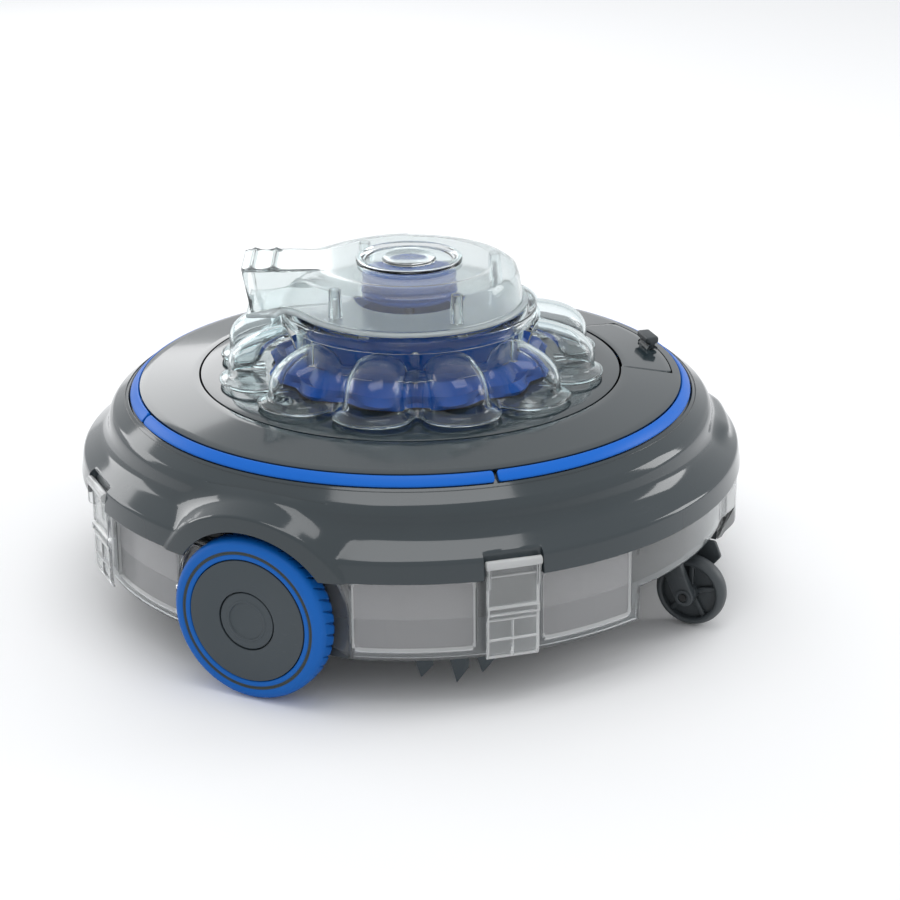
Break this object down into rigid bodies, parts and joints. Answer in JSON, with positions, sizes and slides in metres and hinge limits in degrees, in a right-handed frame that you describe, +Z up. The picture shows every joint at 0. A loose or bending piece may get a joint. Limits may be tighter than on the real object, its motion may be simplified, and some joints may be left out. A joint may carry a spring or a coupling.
{
  "type": "robotic pool cleaner",
  "caption": "Round jet-driven pool cleaner: clear debris bin, lift-off grey shell with a blue band, blue drive wheels, casters and a swivelling clear pump nozzle.",
  "frame": {"origin": "on the floor that the wheels and casters stand on, under the centre of the body", "axes": "+X is the direction of travel, +Y its left side, along the drive wheels' axles, +Z up"},
  "size_m": [0.4246, 0.4124, 0.2082],
  "materials": {
    "shell_grey": "polished dark grey ABS",
    "dark_plastic": "fine moulded charcoal",
    "blue_plastic": "satin blue",
    "blue_tyre": "matt blue tread",
    "clear_plastic": "clear polycarbonate",
    "black_rubber": "soft black rubber",
    "steel": "stainless",
    "board_green": "coated circuit board"
  },
  "bodies": {
    "hull": {"base_tray": "dark_plastic", "clear_bin": "clear_plastic", "bin_gasket_front": "black_rubber", "bin_gasket_rear": "black_rubber", "right_axle": "steel", "left_axle": "steel", "front_caster_pin": "steel", "rear_caster_pin": "steel", "front_caster_fork": "dark_plastic", "rear_caster_fork": "dark_plastic", "floor_fin_right_1": "black_rubber", "floor_fin_right_2": "black_rubber", "floor_fin_right_3": "black_rubber", "floor_fin_left_1": "black_rubber", "floor_fin_left_2": "black_rubber", "floor_fin_left_3": "black_rubber"},
    "right_wheel": {"right_tyre": "blue_tyre", "right_hub": "dark_plastic", "right_hub_cap": "dark_plastic"},
    "left_wheel": {"left_tyre": "blue_tyre", "left_hub": "dark_plastic", "left_hub_cap": "dark_plastic"},
    "front_caster": {"front_caster_wheel": "dark_plastic"},
    "rear_caster": {"rear_caster_wheel": "dark_plastic"},
    "front_flap": {"front_inlet_flap": "black_rubber"},
    "rear_flap": {"rear_inlet_flap": "black_rubber"},
    "upper": {"top_shell": "shell_grey", "blue_band_1": "blue_plastic", "blue_band_2": "blue_plastic", "blue_band_3": "blue_plastic", "blue_band_4": "blue_plastic", "deck_ring": "shell_grey", "centre_plate": "shell_grey", "bulkhead": "dark_plastic", "filter_screen": "clear_plastic", "pump_housing": "blue_plastic", "lobed_cover": "clear_plastic", "swivel_collar": "clear_plastic", "motor_can": "steel", "shaft_seal": "black_rubber", "battery_pack": "blue_plastic", "control_board": "board_green", "board_carrier": "dark_plastic"},
    "handle": {"carry_handle": "shell_grey", "handle_tab": "dark_plastic"},
    "latch_a": {"latch_1": "clear_plastic"},
    "latch_b": {"latch_2": "clear_plastic"},
    "latch_c": {"latch_3": "clear_plastic"},
    "latch_d": {"latch_4": "clear_plastic"},
    "nozzle": {"volute_base": "clear_plastic", "volute_cover": "clear_plastic", "window_cap": "clear_plastic", "volute_screw_1": "steel", "volute_screw_2": "steel", "volute_screw_3": "steel", "volute_screw_4": "steel"},
    "rotor": {"impeller": "blue_plastic", "motor_shaft": "steel"}
  },
  "joints": [
    {"name": "upper_lift", "type": "slide", "parent": "hull", "child": "upper", "axis": [0, 0, 1], "range_m": [0, 0.12]},
    {"name": "right_wheel_spin", "type": "hinge", "parent": "hull", "child": "right_wheel", "pos_m": [0, -0.1972, 0.0492], "axis": [0, -1, 0], "continuous": true},
    {"name": "left_wheel_spin", "type": "hinge", "parent": "hull", "child": "left_wheel", "pos_m": [0, 0.1972, 0.0492], "axis": [0, 1, 0], "continuous": true},
    {"name": "front_caster_spin", "type": "hinge", "parent": "hull", "child": "front_caster", "pos_m": [0.19, 0, 0.0223], "axis": [0, 1, 0], "continuous": true},
    {"name": "rear_caster_spin", "type": "hinge", "parent": "hull", "child": "rear_caster", "pos_m": [-0.19, 0, 0.0223], "axis": [0, 1, 0], "continuous": true},
    {"name": "front_flap_hinge", "type": "hinge", "parent": "hull", "child": "front_flap", "pos_m": [0.094, 0, 0.0317], "axis": [0, 1, 0], "range_deg": [0, 70]},
    {"name": "rear_flap_hinge", "type": "hinge", "parent": "hull", "child": "rear_flap", "pos_m": [-0.094, 0, 0.0317], "axis": [0, -1, 0], "range_deg": [0, 70]},
    {"name": "handle_lift", "type": "hinge", "parent": "upper", "child": "handle", "pos_m": [0.09647, 0.09155, 0.13673], "axis": [0.6884, -0.7254, 0], "range_deg": [0, 60]},
    {"name": "latch_a_hinge", "type": "hinge", "parent": "upper", "child": "latch_a", "pos_m": [0.13987, -0.1474, 0.0885], "axis": [-0.7254, -0.6884, 0], "range_deg": [0, 100]},
    {"name": "latch_b_hinge", "type": "hinge", "parent": "upper", "child": "latch_b", "pos_m": [0.13197, 0.15452, 0.0885], "axis": [0.7604, -0.6494, 0], "range_deg": [0, 100]},
    {"name": "latch_c_hinge", "type": "hinge", "parent": "upper", "child": "latch_c", "pos_m": [-0.13987, 0.1474, 0.0885], "axis": [0.7254, 0.6884, 0], "range_deg": [0, 100]},
    {"name": "latch_d_hinge", "type": "hinge", "parent": "upper", "child": "latch_d", "pos_m": [-0.13197, -0.15452, 0.0885], "axis": [-0.7604, 0.6494, 0], "range_deg": [0, 100]},
    {"name": "nozzle_swivel", "type": "hinge", "parent": "upper", "child": "nozzle", "pos_m": [0, 0, 0.18], "axis": [0, 0, 1], "continuous": true},
    {"name": "impeller_spin", "type": "hinge", "parent": "upper", "child": "rotor", "pos_m": [0, 0, 0.19], "axis": [0, 0, 1], "continuous": true}
  ]
}
